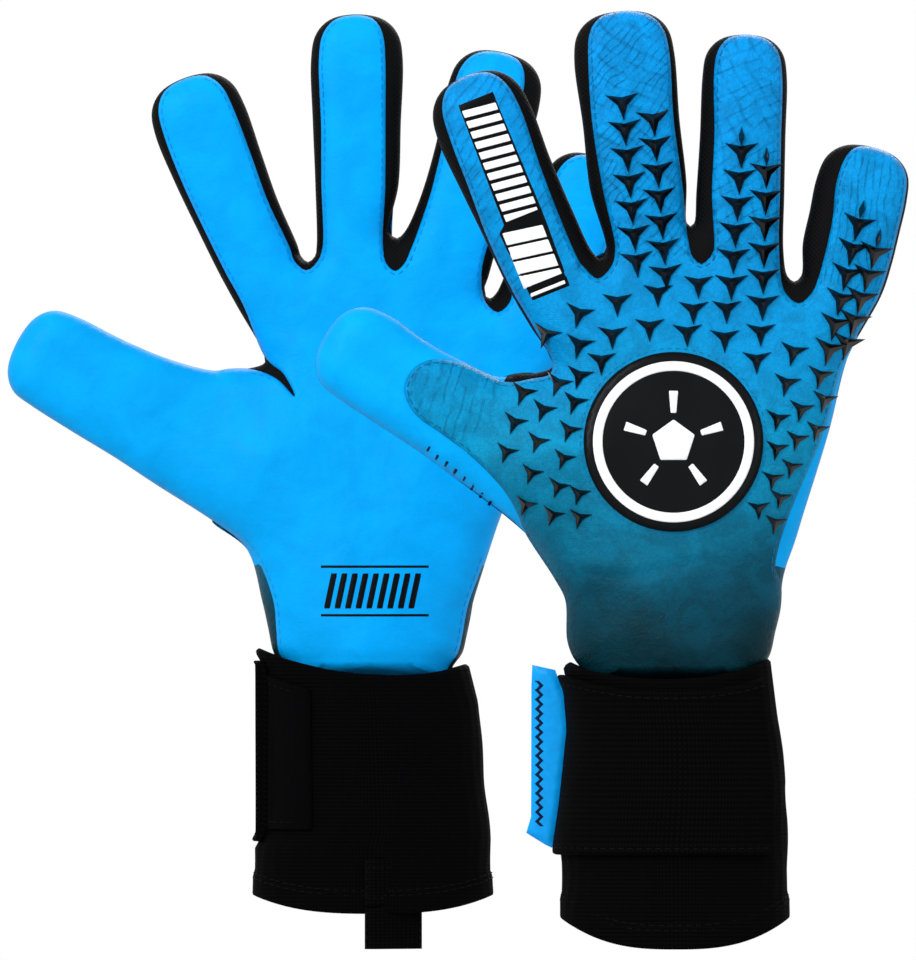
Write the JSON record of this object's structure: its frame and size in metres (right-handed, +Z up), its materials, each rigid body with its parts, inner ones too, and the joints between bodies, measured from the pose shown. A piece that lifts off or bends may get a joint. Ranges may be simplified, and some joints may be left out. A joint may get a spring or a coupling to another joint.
{
  "type": "goalkeeper gloves",
  "caption": "Pair of padded football goalkeeper gloves, right one showing its studded back and left one its latex palm, with elastic cuffs, wrist straps and pull tabs.",
  "frame": {"origin": "centre of the right cuff's hand opening, in the plane of its rim", "axes": "+Z up the hands from cuff to fingertips, +X across the hands away from the thumbs, +Y from the right glove towards the left one behind it, out of the right palm"},
  "size_m": [0.2905, 0.2533, 0.3071],
  "materials": {
    "palm_latex": "azure foam latex with a fine pored, slightly satin skin",
    "backhand": "embossed, wrinkled stretch fabric, blue fading to deep teal at the wrist",
    "gusset": "black stretch mesh between the fingers",
    "knit": "black ribbed elastic bandage",
    "patch": "black moulded rubber patch",
    "print": "off-white raised print",
    "tab": "azure moulded rubber over hook tape"
  },
  "bodies": {
    "right_hand": {"right_hand_back": "backhand", "right_hand_palm": "palm_latex", "right_ulnar_side": "palm_latex", "right_thenar_side": "palm_latex", "right_thumb_crotch_gusset": "gusset", "right_web_index_middle": "gusset", "right_web_middle_ring": "gusset", "right_web_ring_little": "gusset", "right_cuff": "knit", "right_wrist_strap": "knit", "right_loop_patch": "knit", "right_pull_tab_base": "knit", "right_badge_disc": "patch", "right_badge_ring": "print"},
    "right_thumb": {"right_thumb_back": "backhand", "right_thumb_wrap": "palm_latex"},
    "right_index": {"right_index_back": "backhand", "right_index_palm": "palm_latex", "right_index_gusset": "gusset"},
    "right_middle": {"right_middle_back": "backhand", "right_middle_palm": "palm_latex", "right_middle_gusset": "gusset"},
    "right_ring": {"right_ring_back": "backhand", "right_ring_palm": "palm_latex", "right_ring_gusset": "gusset"},
    "right_little": {"right_little_back": "backhand", "right_little_palm": "palm_latex", "right_little_gusset": "gusset"},
    "right_strap_tab": {"right_strap_tab": "tab"},
    "right_pull_tab": {"right_pull_tab": "knit"},
    "left_hand": {"left_hand_back": "backhand", "left_hand_palm": "palm_latex", "left_ulnar_side": "palm_latex", "left_thenar_side": "palm_latex", "left_thumb_crotch_gusset": "gusset", "left_web_index_middle": "gusset", "left_web_middle_ring": "gusset", "left_web_ring_little": "gusset", "left_cuff": "knit", "left_wrist_strap": "knit", "left_loop_patch": "knit", "left_pull_tab_base": "knit", "left_badge_disc": "patch", "left_badge_ring": "print"},
    "left_thumb": {"left_thumb_back": "backhand", "left_thumb_wrap": "palm_latex"},
    "left_index": {"left_index_back": "backhand", "left_index_palm": "palm_latex", "left_index_gusset": "gusset"},
    "left_middle": {"left_middle_back": "backhand", "left_middle_palm": "palm_latex", "left_middle_gusset": "gusset"},
    "left_ring": {"left_ring_back": "backhand", "left_ring_palm": "palm_latex", "left_ring_gusset": "gusset"},
    "left_little": {"left_little_back": "backhand", "left_little_palm": "palm_latex", "left_little_gusset": "gusset"},
    "left_strap_tab": {"left_strap_tab": "tab"},
    "left_pull_tab": {"left_pull_tab": "knit"}
  },
  "joints": [
    {"name": "left_glove_lift", "type": "slide", "parent": "right_hand", "child": "left_hand", "axis": [0, 0, 1], "range_m": [0, 0.22]},
    {"name": "right_thumb_flex", "type": "hinge", "parent": "right_hand", "child": "right_thumb", "pos_m": [-0.06524, 0.005, 0.16769], "axis": [-0.4963, 0, -0.8681], "range_deg": [-10, 50], "stiffness_Nm_per_rad": 0.05},
    {"name": "right_index_flex", "type": "hinge", "parent": "right_hand", "child": "right_index", "pos_m": [-0.03902, 0.005, 0.21617], "axis": [-0.9288, 0, -0.3705], "range_deg": [-10, 75], "stiffness_Nm_per_rad": 0.05},
    {"name": "right_middle_flex", "type": "hinge", "parent": "right_hand", "child": "right_middle", "pos_m": [-0.01009, 0.005, 0.22358], "axis": [-0.9967, 0, -0.0808], "range_deg": [-10, 75], "stiffness_Nm_per_rad": 0.05},
    {"name": "right_ring_flex", "type": "hinge", "parent": "right_hand", "child": "right_ring", "pos_m": [0.02066, 0.005, 0.223], "axis": [-1, 0, 0.0093], "range_deg": [-10, 75], "stiffness_Nm_per_rad": 0.05},
    {"name": "right_little_flex", "type": "hinge", "parent": "right_hand", "child": "right_little", "pos_m": [0.05118, 0.005, 0.21254], "axis": [-0.9732, 0, 0.2301], "range_deg": [-10, 75], "stiffness_Nm_per_rad": 0.05},
    {"name": "right_strap_tab_fold", "type": "hinge", "parent": "right_hand", "child": "right_strap_tab", "pos_m": [-0.03789, 0.00483, 0.06], "axis": [0, 0, -1], "range_deg": [-85, 105]},
    {"name": "right_pull_tab_fold", "type": "hinge", "parent": "right_hand", "child": "right_pull_tab", "pos_m": [0, 0.0273, 0], "axis": [-1, 0, 0], "range_deg": [0, 175]},
    {"name": "left_thumb_flex", "type": "hinge", "parent": "left_hand", "child": "left_thumb", "pos_m": [-0.15978, 0.195, 0.16612], "axis": [0.4589, 0, 0.8885], "range_deg": [-10, 50], "stiffness_Nm_per_rad": 0.05},
    {"name": "left_index_flex", "type": "hinge", "parent": "left_hand", "child": "left_index", "pos_m": [-0.13476, 0.195, 0.22234], "axis": [0.9394, 0, 0.3428], "range_deg": [-10, 75], "stiffness_Nm_per_rad": 0.05},
    {"name": "left_middle_flex", "type": "hinge", "parent": "left_hand", "child": "left_middle", "pos_m": [-0.10288, 0.195, 0.2263], "axis": [1, 0, -0.0036], "range_deg": [-10, 75], "stiffness_Nm_per_rad": 0.05},
    {"name": "left_ring_flex", "type": "hinge", "parent": "left_hand", "child": "left_ring", "pos_m": [-0.0734, 0.195, 0.21984], "axis": [0.9725, 0, -0.233], "range_deg": [-10, 75], "stiffness_Nm_per_rad": 0.05},
    {"name": "left_little_flex", "type": "hinge", "parent": "left_hand", "child": "left_little", "pos_m": [-0.04173, 0.195, 0.21275], "axis": [0.9254, 0, -0.3789], "range_deg": [-10, 75], "stiffness_Nm_per_rad": 0.05},
    {"name": "left_strap_tab_fold", "type": "hinge", "parent": "left_hand", "child": "left_strap_tab", "pos_m": [-0.13618, 0.19515, 0.06], "axis": [0, 0, 1], "range_deg": [0, 185]},
    {"name": "left_pull_tab_fold", "type": "hinge", "parent": "left_hand", "child": "left_pull_tab", "pos_m": [-0.098, 0.1727, 0.0094], "axis": [-1, 0, 0], "range_deg": [-25, 150]}
  ]
}
